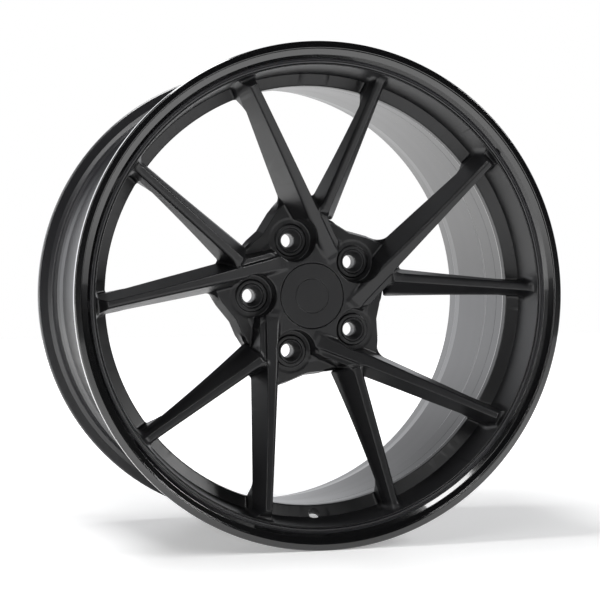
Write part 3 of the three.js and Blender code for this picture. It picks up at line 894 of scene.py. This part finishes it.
def cap_plate():
    """The cap's face plate, with a fine circle cut in its front and a groove for the seal at its back."""
    circle = 19.0
    outline = [
        [0, hub_face + 0.2], [circle - 0.6, hub_face + 0.2], [circle, hub_face + 0.8],
        [circle + 0.6, hub_face + 0.2], [cap_radius - 0.6, hub_face + 0.05], [cap_radius, hub_face + 0.6],
        [cap_radius, cap_back], [cap_radius - 0.6, cap_back], [cap_radius - 0.6, cap_back - 1.4],
        [cap_radius - 2.8, cap_back - 1.4], [cap_radius - 2.8, cap_back], [0, cap_back],
    ]
    return turned("cap_plate_visual", outline, 0.35, 160, "cap", "cap_black", satin_powder_coat(),
                  "cap_plate")


cap_plate()

clip_outside, clip_wall, clip_hook = 32.6, 2.2, 71.9
clip_fingers, slit_width = 6, 3.0
spring_wire, spring_depth = 1.6, 73.6
wire_sides = 20


def plain(name, low_tone, high_tone, grain_size, metallic, low_rough, high_rough, height):
    """A plain finish with a fine grain: its tone and roughness vary with the grain, which also lifts it."""
    paint = bpy.data.materials.new(name)
    paint.use_nodes = True
    tree = paint.node_tree
    shader = tree.nodes["Principled BSDF"]
    shader.inputs["Metallic"].default_value = metallic
    place = add(tree, "TexCoord")
    grain = add(tree, "TexNoise", {"Vector": place.outputs["Object"]}, Scale=1 / (grain_size * MM),
                Detail=3.0)
    tone = add(tree, "Mix", {0: grain.outputs["Fac"]}, data_type="RGBA")
    tone.inputs[6].default_value = linear(low_tone)
    tone.inputs[7].default_value = linear(high_tone)
    tree.links.new(tone.outputs[2], shader.inputs["Base Color"])
    rough = add(tree, "MapRange", {"Value": grain.outputs["Fac"]}, To_Min=low_rough, To_Max=high_rough)
    tree.links.new(rough.outputs["Result"], shader.inputs["Roughness"])
    bump = add(tree, "Bump", {"Height": grain.outputs["Fac"]}, Strength=0.4, Distance=height * MM)
    tree.links.new(bump.outputs["Normal"], shader.inputs["Normal"])
    return paint


def cap_clip(paint):
    """The nylon basket behind the plate: six slits part its wall into fingers that hook in the bore."""
    inside = clip_outside - clip_wall
    end = clip_hook + 5.1
    outline = [
        [0, cap_back + 0.3], [clip_outside, cap_back + 0.3], [clip_outside, clip_hook],
        [clip_outside + 1.2, clip_hook + 0.8], [clip_outside, clip_hook + 2.2], [clip_outside, end],
        [inside, end], [inside, end - 1.4], [inside - 0.8, end - 1.4], [inside - 0.8, end - 2.2],
        [inside, end - 2.2], [inside, cap_back + 2.4], [0, cap_back + 2.4],
    ]
    made = turned("cap_clip_visual", outline, 0.3, 192, "cap", "nylon", paint, "cap_clip")
    front, back = cap_back + 3.4, end + 4
    sides = [(0, 1, 2, 3), (7, 6, 5, 4), (0, 4, 5, 1), (1, 5, 6, 2), (2, 6, 7, 3), (3, 7, 4, 0)]
    points, faces = [], []
    for number in range(clip_fingers):
        turn = number * 2 * np.pi / clip_fingers
        along = np.array([np.cos(turn), 0, np.sin(turn)])
        across = np.array([-np.sin(turn), 0, np.cos(turn)]) * slit_width / 2
        near, far = along * (inside - 4), along * (clip_outside + 6)
        ring = [near - across, near + across, far + across, far - across]
        box = [corner + np.array([0, depth, 0]) for depth in (front, back) for corner in ring]
        faces += [tuple(len(points) + i for i in side) for side in sides]
        points += list(from_depth(np.array(box)))
    cut_away(made, points, faces)


def wire_ring(name, radius, wire, depth, slot, paint, node):
    """A round wire bent into a ring about the axle: a circle carried round the axle."""
    turn = np.arange(wire_sides) * 2 * np.pi / wire_sides
    outline = np.stack([radius + wire / 2 * np.cos(turn), depth + wire / 2 * np.sin(turn)], axis=1)
    turned(name, outline, 0.01, 192, "cap", slot, paint, node)


cap_clip(plain("moulded_black_nylon", "#121213", "#19191b", 0.8, 0.0, 0.5, 0.62, 0.02))
spring_radius = clip_outside - clip_wall - spring_wire / 2 - 0.3
steel = plain("drawn_spring_steel", "#9b9b9e", "#b4b4b6", 1.5, 1.0, 0.22, 0.32, 0.01)
rubber = plain("black_rubber_cord", "#0f0f0f", "#161616", 0.6, 0.0, 0.75, 0.9, 0.02)
wire_ring("cap_spring_ring_visual", spring_radius, spring_wire, spring_depth, "spring_steel", steel,
          "cap_spring_ring")
wire_ring("cap_seal_visual", cap_radius - 1.7, seal_wire, cap_back - 0.5, "seal_rubber", rubber, "cap_seal")
